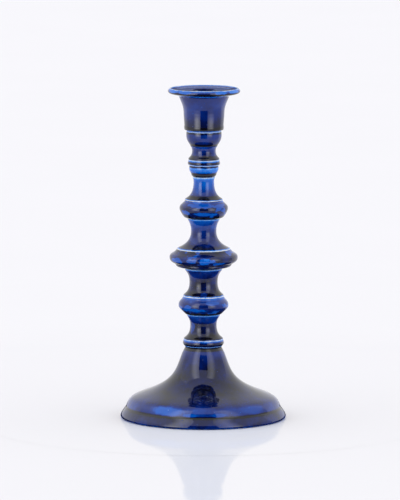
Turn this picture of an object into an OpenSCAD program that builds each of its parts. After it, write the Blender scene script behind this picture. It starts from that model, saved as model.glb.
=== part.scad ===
// Glazed ceramic candlestick: turned sections stacked on one steel tie rod.
// Millimetres, +Z up, origin on the floor under the middle of the foot.

/* [Stack heights, floor upwards] */
// Felt standing proud of the foot rim
felt_proud = 0.4; // [0.2:0.1:1]
// Foot, rim to neck
foot_h = 64.2; // [60:0.5:75]
// Ring on the foot's neck
foot_ring_h = 6.7; // [5.5:0.1:9]
// Spool above the foot
foot_spool_h = 23.4; // [20:0.2:32]
// Lowest knop
lower_knop_h = 15.9; // [13:0.1:20]
// Spool under the middle knop
lower_spool_h = 25.8; // [22:0.2:34]
// Turned disc under the middle knop
middle_disc_h = 4; // [3.5:0.1:6]
// Middle knop, the widest
middle_knop_h = 13.4; // [12:0.1:18]
// Spool above the middle knop
upper_spool_h = 28.2; // [24:0.2:36]
// Upper knop
upper_knop_h = 16.5; // [14:0.1:21]
// Slim spool under the neck rings
neck_spool_h = 21.3; // [18:0.1:28]
// Lower neck ring
lower_ring_h = 9.9; // [8:0.1:13]
// Upper neck ring
upper_ring_h = 5.8; // [5:0.1:8]
// Small spool under the bulb
throat_h = 12.4; // [10:0.1:16]
// Bulb under the candle cup
bulb_h = 13.7; // [12:0.1:18]
// Candle cup with its drip pan
cup_h = 38.4; // [36:0.2:46]

/* [Foot] */
// Radius of the rim where it is widest
rim_r = 75; // [72:0.5:82]
// Height of the rim band below the step
rim_band_h = 8.9; // [7.5:0.1:10]
// Radius of the step where the dome starts
step_r = 70.3; // [69:0.1:71]
// Radius of the dome's shoulder
shoulder_r = 49.6; // [46:0.2:53]
// Height of the dome's shoulder above the rim
shoulder_h = 24.6; // [24:0.1:27]
// Radius of the foot's neck at the ring
foot_neck_r = 16.3; // [15.5:0.1:17.5]
// Inside radius of the open underside
hollow_r = 65; // [63:0.2:65.5]
// Height of the hollow's clamping face above the rim
seat_h = 37.6; // [36.5:0.1:38.5]
// Radius of the clamping face
seat_r = 21; // [17:0.2:22]

/* [Spools and knops] */
// Foot ring, widest radius
foot_ring_r = 18.65; // [18:0.05:21]
// Foot spool, waist radius
foot_waist_r = 11.96; // [11:0.05:13]
// Foot spool, radius of its bottom lip
foot_lip_r = 17.75; // [17:0.05:18]
// Lowest knop, widest radius
lower_knop_r = 22.66; // [21:0.05:26]
// Lower spool, waist radius
lower_waist_r = 12.79; // [11.5:0.05:14]
// Lower spool, radius of its bottom lip
lower_lip_r = 18.45; // [17.5:0.05:18.8]
// Disc under the middle knop, radius
middle_disc_r = 25.2; // [24:0.1:26.5]
// Middle knop, widest radius
middle_knop_r = 30.96; // [29.5:0.05:35]
// Upper spool, waist radius
upper_waist_r = 11.48; // [10.5:0.05:13]
// Upper spool, radius of its bottom lip
upper_lip_r = 24.4; // [23:0.05:25]
// Upper knop, widest radius
upper_knop_r = 21.96; // [20.5:0.05:25]
// Neck spool, waist radius
neck_waist_r = 9.33; // [9:0.05:10]
// Neck spool, radius of its bottom lip
neck_lip_r = 17.2; // [16.5:0.05:17.6]
// Lower neck ring, widest radius
lower_ring_r = 13.35; // [12.8:0.05:14]
// Upper neck ring, widest radius
upper_ring_r = 14.6; // [14:0.05:16]
// Throat, waist radius
throat_r = 10.74; // [10:0.05:11.3]
// Bulb, widest radius
bulb_r = 16.07; // [15.5:0.05:18]

/* [Candle cup] */
// Radius of the candle socket
socket_r = 11; // [10:0.1:11.5]
// Depth of the socket's straight wall
socket_depth = 25; // [22:0.5:26]
// Outside radius of the cup's wall
cup_r = 18.45; // [17.6:0.05:20]
// Radius of the bead at the cup's bottom edge
cup_bead_r = 17.95; // [17.4:0.05:19]
// Radius of the drip pan's lip
pan_r = 32.7; // [31:0.1:36]
// Depth of the drip pan below its lip
pan_depth = 1.4; // [1:0.1:2]

/* [Tie rod and fixings] */
// Radius of the tie rod
rod_r = 4; // [3:0.1:4.1]
// Gap between the rod and each section's hole
rod_gap = 0.3; // [0.2:0.05:0.4]
// Radius of the locating spigots
spigot_r = 6.4; // [6:0.1:6.6]
// Length of the locating spigots
spigot_l = 2; // [1.5:0.1:2.2]
// Width across the foot nut's flats
nut_af = 13; // [12:0.5:15]
// Thickness of the foot nut
nut_h = 6.5; // [5:0.1:7]
// Radius of the rubber cushion under the foot's clamping face
cushion_r = 15; // [12:0.5:15.5]
// Thickness of that cushion
cushion_h = 1.5; // [1:0.1:2]
// Radius of the large washer
washer_r = 14; // [11:0.5:15]
// Thickness of the large washer
washer_h = 2; // [1.5:0.1:2.5]
// Thickness of the spring washer
spring_h = 1.8; // [1.5:0.1:2]
// Thread left below the foot nut
rod_tail = 3.6; // [2:0.2:5]
// Radius of the slotted round nut in the cup
cup_nut_r = 6.2; // [5.8:0.1:6.4]
// Thickness of the slotted round nut
cup_nut_h = 4; // [3.5:0.1:4.5]
// Thickness of the rubber cushion under it
cup_cushion_h = 0.8; // [0.6:0.1:1]
// Width of its screwdriver slot
slot_w = 1.6; // [1:0.1:2]
// Depth of its screwdriver slot
slot_d = 1.4; // [1:0.1:1.8]

/* [Felt] */
// Inside radius of the felt ring
felt_in_r = 66; // [66:0.1:67]
// Outside radius of the felt ring
felt_out_r = 71.5; // [70:0.1:72]
// Thickness of the felt
felt_h = 1; // [1:0.1:1.4]

/* [Hidden] */
$fn = 120;
steps = 10;
hole_r = rod_r + rod_gap;
recess_r = spigot_r + 0.1;
recess_d = spigot_l + 0.3;
thread_gap = 0.05;

z_foot = felt_proud;
z_foot_ring = z_foot + foot_h;
z_foot_spool = z_foot_ring + foot_ring_h;
z_lower_knop = z_foot_spool + foot_spool_h;
z_lower_spool = z_lower_knop + lower_knop_h;
z_middle_disc = z_lower_spool + lower_spool_h;
z_middle_knop = z_middle_disc + middle_disc_h;
z_upper_spool = z_middle_knop + middle_knop_h;
z_upper_knop = z_upper_spool + upper_spool_h;
z_neck_spool = z_upper_knop + upper_knop_h;
z_lower_ring = z_neck_spool + neck_spool_h;
z_upper_ring = z_lower_ring + lower_ring_h;
z_throat = z_upper_ring + upper_ring_h;
z_bulb = z_throat + throat_h;
z_cup = z_bulb + bulb_h;

pan_floor = cup_h - pan_depth;
socket_top = pan_floor - 0.6;
socket_floor = socket_top - socket_depth;
cup_recess = socket_floor - cup_nut_h - cup_cushion_h - 0.8;
cup_nut_seat = cup_recess + cup_cushion_h;
z_rod_top = z_cup + cup_nut_seat + cup_nut_h - slot_d;
z_seat = z_foot + seat_h;
z_washer = z_seat - cushion_h - washer_h;
z_spring = z_washer - spring_h;
z_nut = z_spring - nut_h;
z_rod_end = z_nut - rod_tail;

glaze = [0.02, 0.10, 0.42];
steel = [0.62, 0.63, 0.65];
felt_green = [0.10, 0.22, 0.14];
rubber = [0.06, 0.06, 0.06];

// One smooth curve from a to d, pulled towards b and c.
function curve(a, b, c, d, n = steps) = [for (i = [0:n]) let (t = i / n, s = 1 - t)
    s * s * s * a + 3 * s * s * t * b + 3 * s * t * t * c + t * t * t * d];

// A curve that leaves height z1 upright at radius r1 and ends at r2, z2.
// k is how long it stays upright; u and v pull it in before its end.
function sweep(r1, z1, r2, z2, k, u, v, n = steps) =
    curve([r1, z1], [r1, z1 + k * (z2 - z1)], [r2 - u * (r2 - r1), z2 - v * (z2 - z1)], [r2, z2], n);

function reversed(p) = [for (i = [len(p) - 1:-1:0]) p[i]];

// The hole, the recess on top and the spigot below that every section shares.
function core(h, recess = true, spigot = true) = concat(
    recess ? [[recess_r, h], [recess_r, h - recess_d], [hole_r, h - recess_d]] : [[hole_r, h]],
    spigot ? [[hole_r, -spigot_l], [spigot_r, -spigot_l], [spigot_r, 0]] : [[hole_r, 0]]);

// A section is spun from its outside, drawn from bottom to top, and its core.
module section(z, h, outside) {
    color(glaze) translate([0, 0, z]) rotate_extrude() polygon(concat(outside, core(h)));
}

// Spool: a lip at the bottom, a waist, and a thin edge at the top.
module spool(z, h, lip_r, lip_h, waist_r, waist_z, top_r, low, high) {
    section(z, h, concat(
        [[lip_r - 0.25, 0], [lip_r, 0.2]],
        reversed(sweep(waist_r, waist_z, lip_r, lip_h, low[0], low[1], low[2])),
        [for (p = sweep(waist_r, waist_z, top_r, h - 0.3, high[0], high[1], high[2])) if (p[1] > waist_z) p],
        [[top_r - 0.3, h]]));
}

// Knop: a bulge between two flat faces.
module knop(z, h, low_r, low_z, max_r, max_z, top_r, top_z, low, high) {
    section(z, h, concat(
        [[low_r - 2, 0]],
        reversed(sweep(max_r, max_z, low_r, low_z, low[0], low[1], low[2])),
        [for (p = sweep(max_r, max_z, top_r, top_z, high[0], high[1], high[2])) if (p[1] > max_z) p],
        [[top_r - 0.7, h]]));
}

module foot() {
    d = step_r - 0.2;
    color(glaze) translate([0, 0, z_foot]) rotate_extrude() polygon(concat(
        // rim band, step, shoulder and neck
        [[felt_out_r + 0.2, 0], [rim_r - 0.9, 0], [rim_r - 0.3, 0.4]],
        curve([rim_r, 1.2], [rim_r - 0.1, 3.6], [step_r + 1.4, rim_band_h - 1.9],
            [step_r + 0.3, rim_band_h], 8),
        curve([d, rim_band_h + 0.5], [d - 3, shoulder_h - 6], [shoulder_r + 14.7, shoulder_h - 5.9],
            [shoulder_r, shoulder_h], 14),
        [for (p = curve([shoulder_r, shoulder_h], [shoulder_r - 23.9, shoulder_h + 9.9],
            [foot_neck_r + 8.8, foot_h - 21], [foot_neck_r + 2.9, foot_h - 5.5], 16))
            if (p[1] > shoulder_h) p],
        [[foot_neck_r + 1.6, foot_h - 2.9], [foot_neck_r + 0.5, foot_h - 0.8], [foot_neck_r - 0.1, foot_h]],
        // recess, rod hole and clamping face
        [[recess_r, foot_h], [recess_r, foot_h - recess_d], [hole_r, foot_h - recess_d],
            [hole_r, seat_h], [seat_r, seat_h]],
        // hollow underside
        curve([seat_r + 1, seat_h - 0.5], [seat_r + 7, seat_h - 7], [shoulder_r - 13.6, shoulder_h + 0.3],
            [shoulder_r - 3.6, shoulder_h - 3.7], 8),
        [for (p = curve([shoulder_r - 3.6, shoulder_h - 3.7], [shoulder_r + 6.4, shoulder_h - 7.7],
            [hollow_r - 3, shoulder_h - 7.7], [hollow_r - 0.5, rim_band_h - 0.3], 8))
            if (p[1] < shoulder_h - 3.7) p],
        // rim's underside with the groove for the felt
        [[hollow_r, 5], [hollow_r, 0], [felt_in_r - 0.2, 0], [felt_in_r - 0.2, felt_h - felt_proud],
            [felt_out_r + 0.2, felt_h - felt_proud]]));
}

module felt_ring() {
    color(felt_green) linear_extrude(felt_h) difference() {
        circle(felt_out_r);
        circle(felt_in_r);
    }
}

module foot_ring() {
    section(z_foot_ring, foot_ring_h, concat(
        [[foot_ring_r - 1.9, 0], [foot_ring_r - 1.7, 0.7]],
        curve([foot_ring_r - 1.35, 1.1], [foot_ring_r - 0.45, 2.7], [foot_ring_r + 0.65, 2.7],
            [foot_ring_r - 0.55, 6.1]),
        [[foot_ring_r - 0.8, foot_ring_h]]));
}

module foot_spool() {
    spool(z_foot_spool, foot_spool_h, foot_lip_r, 0.8, foot_waist_r, foot_spool_h - 10.1,
        foot_waist_r + 3.1, [0.84, -0.04, 0.13], [0.61, -0.05, 0.29]);
}

module lower_knop() {
    knop(z_lower_knop, lower_knop_h, lower_knop_r - 5.86, 0.3, lower_knop_r, lower_knop_h / 2,
        lower_knop_r - 3.76, lower_knop_h - 0.8, [0.14, 1.08, 0.76], [0.57, 0.34, 0.37]);
}

module lower_spool() {
    spool(z_lower_spool, lower_spool_h, lower_lip_r, 0.6, lower_waist_r, lower_spool_h - 12.2,
        lower_waist_r + 4.3, [0.83, 0.11, 0.23], [0.69, -0.06, 0.19]);
}

module middle_disc() {
    section(z_middle_disc, middle_disc_h, concat(
        [[middle_disc_r - 8, 0]],
        curve([middle_disc_r - 7.6, 0.2], [middle_disc_r - 3.4, 1.1], [middle_disc_r - 1.1, 1.4],
            [middle_disc_r - 0.3, middle_disc_h - 1.6]),
        [[middle_disc_r, middle_disc_h - 1.1], [middle_disc_r - 0.1, middle_disc_h - 0.3],
            [middle_disc_r - 0.4, middle_disc_h]]));
}

module middle_knop() {
    section(z_middle_knop, middle_knop_h, concat(
        [[middle_knop_r - 5.2, 0]],
        reversed(sweep(middle_knop_r, 5.9, middle_knop_r - 4.76, 0.15, 0.83, -0.16, 0.15)),
        [for (p = sweep(middle_knop_r, 5.9, middle_knop_r - 6.06, middle_knop_h - 0.7, 0.59, 0.5, 0.54))
            if (p[1] > 5.9) p],
        [[middle_knop_r - 6.8, middle_knop_h]]));
}

module upper_spool() {
    spool(z_upper_spool, upper_spool_h, upper_lip_r, 0.4, upper_waist_r, upper_spool_h - 11.9,
        upper_waist_r + 3.3, [0.76, 0.04, 0.08], [0.59, 0.25, 0.22]);
}

module upper_knop() {
    knop(z_upper_knop, upper_knop_h, upper_knop_r - 4.56, 1, upper_knop_r, 9,
        upper_knop_r - 4.36, upper_knop_h - 1.3, [0.3, 0.09, -0.07], [0.45, 0.75, 0.5]);
}

module neck_spool() {
    spool(z_neck_spool, neck_spool_h, neck_lip_r, 0.5, neck_waist_r, neck_spool_h - 4.4,
        neck_waist_r + 0.77, [0.89, 0.04, 0.12], [0.57, -0.06, 0.2]);
}

module lower_neck_ring() {
    section(z_lower_ring, lower_ring_h, concat(
        [[lower_ring_r - 3.3, 0], [lower_ring_r - 3, 0.5], [lower_ring_r - 2.2, 1.3]],
        curve([lower_ring_r - 1.95, 2.1], [lower_ring_r - 1.55, 4.6], [lower_ring_r + 0.7, 5.3],
            [lower_ring_r - 0.2, lower_ring_h - 0.3]),
        [[lower_ring_r - 0.5, lower_ring_h]]));
}

module upper_neck_ring() {
    section(z_upper_ring, upper_ring_h, concat(
        [[upper_ring_r - 1.6, 0], [upper_ring_r - 0.9, 0.4]],
        curve([upper_ring_r - 0.7, 0.6], [upper_ring_r + 0.7, 2.5], [upper_ring_r - 0.4, 3],
            [upper_ring_r - 0.6, upper_ring_h - 0.5]),
        [[upper_ring_r - 0.9, upper_ring_h]]));
}

module throat() {
    spool(z_throat, throat_h, throat_r + 3.35, 0.35, throat_r, throat_h - 4.5,
        throat_r + 1.5, [0.71, 0.14, 0.27], [0.8, -0.2, 0.02]);
}

module cup_bulb() {
    section(z_bulb, bulb_h, concat(
        [[bulb_r - 3.95, 0]],
        reversed(sweep(bulb_r, bulb_h - 3.8, bulb_r - 3.67, 0.3, 0.61, 0.07, 0.14)),
        [for (p = sweep(bulb_r, bulb_h - 3.8, bulb_r - 0.3, bulb_h - 0.3, 0.49, 0.12, 0.08, 5))
            if (p[1] > bulb_h - 3.8) p],
        [[bulb_r - 0.7, bulb_h]]));
}

module candle_cup() {
    lip = cup_h - 3;
    color(glaze) translate([0, 0, z_cup]) rotate_extrude() polygon(concat(
        // bottom edge and bead
        [[cup_bead_r - 2.4, 0], [cup_bead_r - 2.3, 0.5], [cup_bead_r - 0.6, 0.8]],
        curve([cup_bead_r - 0.25, 1.1], [cup_bead_r + 0.1, 2.4], [cup_bead_r + 0.1, 3.9],
            [cup_bead_r - 0.2, 5], 5),
        // wall and flare
        curve([cup_r, 14.9], [cup_r + 0.05, 22.7], [cup_r + 2.45, 26], [cup_r + 4.15, 30.6]),
        // underside of the drip pan and its lip
        [[cup_r + 4.5, lip - 4]],
        curve([cup_r + 7.5, lip - 2.8], [pan_r - 4.6, lip - 2.1], [pan_r - 1.7, lip - 1.9],
            [pan_r - 0.6, lip - 0.9], 6),
        curve([pan_r, lip + 0.2], [pan_r + 0.05, lip + 1.4], [pan_r - 1, lip + 2.4],
            [pan_r - 1.9, lip + 3], 6),
        // inside of the pan
        curve([pan_r - 2.3, cup_h], [pan_r - 2.9, cup_h - 0.1], [pan_r - 4.6, pan_floor],
            [pan_r - 7, pan_floor], 6),
        [[socket_r + 0.6, pan_floor], [socket_r, socket_top], [socket_r, socket_floor],
            [cup_nut_r + 0.3, socket_floor], [cup_nut_r + 0.3, cup_recess], [hole_r, cup_recess],
            [hole_r, -spigot_l], [spigot_r, -spigot_l], [spigot_r, 0]]));
}

module tie_rod() {
    l = z_rod_top - z_rod_end;
    color(steel) translate([0, 0, z_rod_end]) rotate_extrude()
        polygon([[0, 0], [rod_r - 0.7, 0], [rod_r, 0.7], [rod_r, l - 0.7], [rod_r - 0.7, l], [0, l]]);
}

module foot_cushion() {
    color(rubber) translate([0, 0, z_seat - cushion_h]) linear_extrude(cushion_h) difference() {
        circle(cushion_r);
        circle(hole_r);
    }
}

module cup_cushion() {
    color(rubber) translate([0, 0, z_cup + cup_recess]) linear_extrude(cup_cushion_h) difference() {
        circle(cup_nut_r);
        circle(hole_r);
    }
}

module foot_washer() {
    color(steel) translate([0, 0, z_washer]) linear_extrude(washer_h) difference() {
        circle(washer_r);
        circle(hole_r);
    }
}

// Split ring: the cut shows as a narrow gap.
module spring_washer() {
    color(steel) translate([0, 0, z_spring]) linear_extrude(spring_h) difference() {
        circle(rod_r + 3);
        circle(rod_r + 0.15);
        translate([0, -0.6]) square([rod_r + 5, 1.2]);
    }
}

module foot_nut() {
    color(steel) translate([0, 0, z_nut]) difference() {
        intersection() {
            cylinder(h = nut_h, r = nut_af / sqrt(3), $fn = 6);
            rotate_extrude() polygon([[0, 0], [nut_af / 2 - 0.2, 0], [nut_af / sqrt(3), 0.9],
                [nut_af / sqrt(3), nut_h - 0.9], [nut_af / 2 - 0.2, nut_h], [0, nut_h]]);
        }
        translate([0, 0, -1]) cylinder(h = nut_h + 2, r = rod_r + thread_gap);
    }
}

module cup_nut() {
    h = cup_nut_h;
    color(steel) translate([0, 0, z_cup + cup_nut_seat]) difference() {
        rotate_extrude() polygon([[rod_r + thread_gap, 0], [cup_nut_r - 0.3, 0], [cup_nut_r, 0.3],
            [cup_nut_r, h - 0.5], [cup_nut_r - 0.5, h], [rod_r + thread_gap, h]]);
        translate([-cup_nut_r - 1, -slot_w / 2, h - slot_d]) cube([2 * cup_nut_r + 2, slot_w, slot_d + 1]);
    }
}

foot();
felt_ring();
foot_ring();
foot_spool();
lower_knop();
lower_spool();
middle_disc();
middle_knop();
upper_spool();
upper_knop();
neck_spool();
lower_neck_ring();
upper_neck_ring();
throat();
cup_bulb();
candle_cup();
tie_rod();
foot_cushion();
foot_washer();
spring_washer();
foot_nut();
cup_cushion();
cup_nut();
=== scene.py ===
"""Glazed ceramic candlestick: its turned sections, their glaze and the fixings."""

import logging
import math
from contextlib import contextmanager
from dataclasses import dataclass
from enum import Enum
from typing import Callable, Iterator, Optional, Sequence, Union

import bpy
from mathutils import Matrix, Vector


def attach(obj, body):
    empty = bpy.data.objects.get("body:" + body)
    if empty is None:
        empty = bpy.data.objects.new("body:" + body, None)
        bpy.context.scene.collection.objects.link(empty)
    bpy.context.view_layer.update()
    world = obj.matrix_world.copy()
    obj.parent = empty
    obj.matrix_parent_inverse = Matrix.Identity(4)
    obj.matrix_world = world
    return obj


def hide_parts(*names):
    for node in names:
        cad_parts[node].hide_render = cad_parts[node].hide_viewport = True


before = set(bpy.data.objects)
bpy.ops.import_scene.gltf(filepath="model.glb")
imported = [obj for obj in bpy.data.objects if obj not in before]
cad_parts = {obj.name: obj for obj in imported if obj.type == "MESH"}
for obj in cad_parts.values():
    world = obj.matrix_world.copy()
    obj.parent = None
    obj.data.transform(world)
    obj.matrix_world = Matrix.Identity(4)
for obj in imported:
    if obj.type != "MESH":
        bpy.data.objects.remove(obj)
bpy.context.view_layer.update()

Point = tuple[float, float]
Colour = tuple[float, float, float]
MM = 0.001
SHARP_TURN = math.radians(24)
log = logging.getLogger("candlestick")


class Slot(Enum):
    """The record's finishes."""

    GLAZE = "blue_glaze"
    STEEL = "steel"
    RUBBER = "rubber"
    FELT = "felt"


class Side(Enum):
    """The two sides of the studio, as the sign of X."""

    LEFT = -1
    RIGHT = 1


# Outlines: radius and height in millimetres


def curve(a: Point, b: Point, c: Point, d: Point, steps: int = 20) -> list[Point]:
    """Gives points on one smooth curve.

    Args:
        a: Start of the curve.
        b: Point the curve leaves towards.
        c: Point the curve arrives from.
        d: End of the curve.
        steps: Number of stretches between the points.

    Returns:
        The points from a to d.
    """
    points = []
    for i in range(steps + 1):
        t = i / steps
        s = 1 - t
        points.append(
            tuple(
                s**3 * a[k] + 3 * s * s * t * b[k] + 3 * s * t * t * c[k] + t**3 * d[k]
                for k in (0, 1)
            )
        )
    return points


@dataclass(frozen=True)
class Pull:
    """How a sweep bends: upright stays upright, inward and level pull it before its end."""

    upright: float
    inward: float
    level: float


def sweep(start: Point, end: Point, pull: Pull, steps: int = 20) -> list[Point]:
    """Gives a curve that leaves its start upright.

    Args:
        start: Radius and height where the curve stands upright.
        end: Radius and height where it ends.
        pull: How it bends on the way.
        steps: Number of stretches.

    Returns:
        The points from start to end.
    """
    (r1, z1), (r2, z2) = start, end
    return curve(
        start,
        (r1, z1 + pull.upright * (z2 - z1)),
        (r2 - pull.inward * (r2 - r1), z2 - pull.level * (z2 - z1)),
        end,
        steps,
    )


def thinned(outline: Sequence[Point], gap: float = 0.06) -> list[Point]:
    """Drops points that lie closer together than a gap.

    Args:
        outline: The outline's points.
        gap: Smallest distance kept between two points, in millimetres.

    Returns:
        The outline without its crowded points.
    """
    kept: list[Point] = []
    for point in outline:
        if not kept or math.dist(kept[-1], point) > gap:
            kept.append(point)
    if math.dist(kept[-1], kept[0]) <= gap:
        kept.pop()
    return kept


def softened(outline: Sequence[Point], radius: float = 0.3) -> list[Point]:
    """Rounds each sharp corner of a closed outline, as melted glaze does.

    Args:
        outline: The closed outline's corners.
        radius: Radius of the rounding in millimetres.

    Returns:
        The outline with small arcs in place of its corners.
    """
    corners = thinned(outline)
    soft: list[Point] = []
    count = len(corners)
    for i, here in enumerate(corners):
        before = Vector(corners[i - 1]) - Vector(here)
        after = Vector(corners[(i + 1) % count]) - Vector(here)
        turn = math.pi - before.angle(after)
        if turn < SHARP_TURN:
            soft.append(here)
            continue
        cut = min(radius * math.tan(turn / 2), 0.45 * before.length, 0.45 * after.length)
        a = Vector(here) + before.normalized() * cut
        b = Vector(here) + after.normalized() * cut
        for t in (0.0, 0.25, 0.5, 0.75, 1.0):
            p = a * (1 - t) ** 2 + Vector(here) * (2 * t * (1 - t)) + b * t**2
            soft.append((p.x, p.y))
    return thinned(soft, 0.02)


# Modelling


class Bench:
    """The modelling steps that the pieces share."""

    @staticmethod
    def clear() -> None:
        """Leaves edit mode and selects nothing."""
        if bpy.context.object and bpy.context.object.mode != "OBJECT":
            bpy.ops.object.mode_set(mode="OBJECT")
        bpy.ops.object.select_all(action="DESELECT")

    @staticmethod
    def pick(piece: bpy.types.Object) -> None:
        """Makes one piece the only selected and active one."""
        Bench.clear()
        piece.select_set(True)
        bpy.context.view_layer.objects.active = piece

    @staticmethod
    @contextmanager
    def editing() -> Iterator[None]:
        """Opens the active piece with all of it selected, and closes it afterwards."""
        bpy.ops.object.mode_set(mode="EDIT")
        bpy.ops.mesh.select_all(action="SELECT")
        yield
        bpy.ops.object.mode_set(mode="OBJECT")

    @staticmethod
    def open_point(name: str) -> bpy.types.Object:
        """Adds a piece that is one point at the origin, and leaves it open for editing."""
        Bench.clear()
        bpy.ops.mesh.primitive_plane_add(size=MM, location=(0, 0, 0))
        piece = bpy.context.object
        piece.name = piece.data.name = name
        bpy.ops.object.mode_set(mode="EDIT")
        bpy.ops.mesh.select_all(action="SELECT")
        bpy.ops.mesh.merge(type="CENTER")
        return piece

    @staticmethod
    def draw(name: str, outline: Sequence[Point], closed: bool = True) -> bpy.types.Object:
        """Draws an outline in the XZ plane by extruding one point after another.

        Args:
            name: Name of the new piece.
            outline: Radius and height of each point, in millimetres.
            closed: Whether the last point is joined to the first.

        Returns:
            The piece, a line of edges.
        """
        piece = Bench.open_point(name)
        r, z = outline[0]
        bpy.ops.transform.translate(value=(r * MM, 0, z * MM))
        for before, after in zip(outline, outline[1:]):
            move = ((after[0] - before[0]) * MM, 0, (after[1] - before[1]) * MM)
            bpy.ops.mesh.extrude_vertices_move(TRANSFORM_OT_translate={"value": move})
        bpy.ops.object.mode_set(mode="OBJECT")
        if closed:
            ends = (0, len(piece.data.vertices) - 1)
            for vertex in piece.data.vertices:
                vertex.select = vertex.index in ends
            bpy.ops.object.mode_set(mode="EDIT")
            bpy.ops.mesh.edge_face_add()
            bpy.ops.object.mode_set(mode="OBJECT")
        return piece

    @staticmethod
    def turn(
        name: str, outline: Sequence[Point], steps: int = 144, angle: float = 360
    ) -> bpy.types.Object:
        """Spins a closed outline about the upright axis.

        Args:
            name: Name of the new piece.
            outline: Radius and height of each point, in millimetres.
            steps: Number of stretches round the axis.
            angle: How far round it goes, in degrees.

        Returns:
            The turned piece, closed and with its faces outwards.
        """
        piece = Bench.draw(name, outline)
        with Bench.editing():
            bpy.ops.mesh.spin(
                steps=steps,
                angle=math.radians(angle),
                use_auto_merge=angle >= 360,
                center=(0, 0, 0),
                axis=(0, 0, 1),
            )
            bpy.ops.mesh.select_all(action="SELECT")
            bpy.ops.mesh.remove_doubles(threshold=1e-6)
            if angle < 360:
                bpy.ops.mesh.fill_holes(sides=0)
            bpy.ops.mesh.select_all(action="SELECT")
            bpy.ops.mesh.normals_make_consistent(inside=False)
        Bench.smooth(piece)
        return piece

    @staticmethod
    def smooth(piece: bpy.types.Object, angle: float = 38) -> None:
        """Shades a piece smooth where its faces meet at less than an angle in degrees."""
        Bench.pick(piece)
        bpy.ops.object.shade_smooth_by_angle(angle=math.radians(angle))

    @staticmethod
    def finish_with(piece: bpy.types.Object, kind: str, **settings: object) -> None:
        """Adds one modifier and applies it.

        Args:
            piece: The piece to change.
            kind: The modifier's type.
            settings: The modifier's own settings.
        """
        Bench.pick(piece)
        modifier = piece.modifiers.new(kind.title(), kind)
        for key, value in settings.items():
            setattr(modifier, key, value)
        bpy.ops.object.modifier_apply(modifier=modifier.name)

    @staticmethod
    def combine(piece: bpy.types.Object, tool: bpy.types.Object, operation: str) -> None:
        """Cuts a piece with another one, or keeps what they share, and drops the tool.

        Args:
            piece: The piece that is changed.
            tool: The piece that cuts, which is deleted.
            operation: DIFFERENCE or INTERSECT.
        """
        Bench.finish_with(piece, "BOOLEAN", object=tool, operation=operation, solver="EXACT")
        Bench.pick(tool)
        bpy.ops.object.delete()

    @staticmethod
    def trim(piece: bpy.types.Object, height: float, keep_above: bool) -> None:
        """Cuts a piece level at a height and closes the cut.

        Args:
            piece: The piece to cut.
            height: Height of the cut in millimetres.
            keep_above: Whether the part above stays, and not the part below.
        """
        Bench.pick(piece)
        with Bench.editing():
            bpy.ops.mesh.bisect(
                plane_co=(0, 0, height * MM),
                plane_no=(0, 0, 1),
                use_fill=True,
                clear_inner=keep_above,
                clear_outer=not keep_above,
            )

    @staticmethod
    def outwards(piece: bpy.types.Object) -> None:
        """Merges a piece's doubles and points its faces outwards."""
        Bench.pick(piece)
        with Bench.editing():
            bpy.ops.mesh.remove_doubles(threshold=2e-6)
            bpy.ops.mesh.normals_make_consistent(inside=False)

    @staticmethod
    def give_faces(
        piece: bpy.types.Object,
        finish: bpy.types.Material,
        wanted: Callable[[Vector, Vector], bool],
    ) -> None:
        """Gives some faces of a piece a finish of their own.

        Args:
            piece: The piece, which already has its main finish.
            finish: The finish for the chosen faces.
            wanted: Says from a face's middle and normal whether it is chosen.
        """
        piece.data.materials.append(finish)
        Bench.pick(piece)
        bpy.ops.object.mode_set(mode="EDIT")
        bpy.ops.mesh.select_all(action="DESELECT")
        bpy.ops.object.mode_set(mode="OBJECT")
        for face in piece.data.polygons:
            face.select = wanted(face.center, face.normal)
        bpy.ops.object.mode_set(mode="EDIT")
        piece.active_material_index = len(piece.data.materials) - 1
        bpy.ops.object.material_slot_assign()
        bpy.ops.object.mode_set(mode="OBJECT")

    @staticmethod
    def hand_over(piece: bpy.types.Object, node: str, slot: Slot) -> None:
        """Puts a finished piece on the frame in place of a CAD node.

        Args:
            piece: The finished piece.
            node: The CAD node it stands for.
            slot: The record's finish; not used.
        """
        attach(piece, "root")
        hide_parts(node)
        log.info("%s: %d faces, for %s", piece.name, len(piece.data.polygons), node)


# Finishes


def math_node(operation: str, reflected: bool = False) -> Callable[["Wire", "Value"], "Wire"]:
    """Makes the method for one operator on two values.

    Args:
        operation: The Math node's operation.
        reflected: Whether the wire is the second of the two.

    Returns:
        The method, which adds the Math node.
    """

    def apply(wire: "Wire", other: "Value") -> "Wire":
        """Adds the Math node for a wire and another value."""
        terms = (other, wire) if reflected else (wire, other)
        return wire.board.add("ShaderNodeMath", {"operation": operation}, dict(enumerate(terms)))

    return apply


class Wire:
    """A socket that can be used in sums: each operator adds its Math node."""

    __add__ = math_node("ADD")
    __radd__ = math_node("ADD", reflected=True)
    __sub__ = math_node("SUBTRACT")
    __rsub__ = math_node("SUBTRACT", reflected=True)
    __mul__ = math_node("MULTIPLY")
    __rmul__ = math_node("MULTIPLY", reflected=True)
    __truediv__ = math_node("DIVIDE")
    __rtruediv__ = math_node("DIVIDE", reflected=True)
    __pow__ = math_node("POWER")
    __rpow__ = math_node("POWER", reflected=True)
    at_least = math_node("MAXIMUM")

    def __init__(self, board: "Board", socket: bpy.types.NodeSocket) -> None:
        """Holds the socket and the board that it is on."""
        self.board = board
        self.socket = socket

    def __abs__(self) -> "Wire":
        """Drops the sign."""
        return self.board.add("ShaderNodeMath", {"operation": "ABSOLUTE"}, {0: self})

    def rise(self, low: float, high: float) -> "Wire":
        """Climbs smoothly from 0 at low to 1 at high."""
        return self.board.add(
            "ShaderNodeMapRange",
            {"interpolation_type": "SMOOTHSTEP"},
            {"Value": self, "From Min": low, "From Max": high},
        )

    def towards(self, other: "Value", share: "Wire") -> "Wire":
        """Moves to another value by a share."""
        return self + (other - self) * share


Value = Union[Wire, float, int, tuple]


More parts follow.
